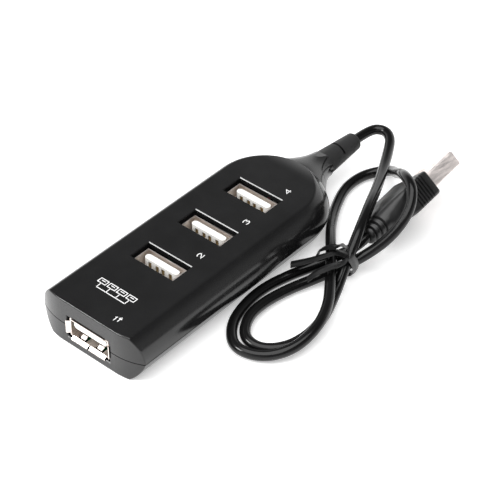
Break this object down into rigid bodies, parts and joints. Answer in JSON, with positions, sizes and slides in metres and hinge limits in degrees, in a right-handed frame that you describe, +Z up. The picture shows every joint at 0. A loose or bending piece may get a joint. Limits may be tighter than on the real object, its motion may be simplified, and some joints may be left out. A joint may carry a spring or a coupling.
{
  "type": "usb hub",
  "caption": "Slim black data hub lying flat, with top and end sockets, a bottle neck, and a short thin cable folded and tied beside it, ending in a flat plug.",
  "frame": {"origin": "under the middle of the housing's own length and width, on the surface that it rests on", "axes": "+X to the right, towards the tied cable; +Y from the end socket to the cable end; +Z up"},
  "size_m": [0.0573, 0.1161, 0.0202],
  "materials": {
    "housing_black": "glossy, finely moulded",
    "port_steel": "bright nickel-plated sheet",
    "port_white": "moulded, satin",
    "contact_gold": "gold plated",
    "board_green": "solder mask over glass laminate",
    "chip_black": "moulded epoxy",
    "part_metal": "tinned",
    "capacitor_can": "drawn can",
    "chip_ceramic": "fired ceramic",
    "resistor_black": "glazed",
    "boot_black": "matt, soft",
    "cable_black": "glossy soft jacket",
    "wire_red": "extruded",
    "wire_white": "extruded",
    "wire_green": "extruded",
    "grip_black": "satin moulded",
    "plug_steel": "bright nickel-plated sheet",
    "tie_black": "flat plastic ribbon"
  },
  "bodies": {
    "root": {"top_cover": "housing_black", "bottom_cover": "housing_black", "circuit_board": "board_green", "solder_joints": "part_metal", "hub_chip": "chip_black", "hub_chip_leads": "part_metal", "crystal_can": "part_metal", "electrolytic_capacitors": "capacitor_can", "chip_resistors": "resistor_black", "chip_capacitors": "chip_ceramic", "cable_boot": "boot_black", "cable_inner_end": "cable_black", "wire_red": "wire_red", "wire_white": "wire_white", "wire_green": "wire_green", "wire_black": "cable_black", "cable": "cable_black", "plug_grip": "grip_black", "plug_shell": "plug_steel", "plug_insulator": "port_white", "plug_contacts": "contact_gold", "twist_tie": "tie_black", "port_1_shell": "port_steel", "port_1_insulator": "port_white", "port_1_contacts": "contact_gold", "port_2_shell": "port_steel", "port_2_insulator": "port_white", "port_2_contacts": "contact_gold", "port_3_shell": "port_steel", "port_3_insulator": "port_white", "port_3_contacts": "contact_gold", "port_4_shell": "port_steel", "port_4_insulator": "port_white", "port_4_contacts": "contact_gold"}
  },
  "joints": []
}
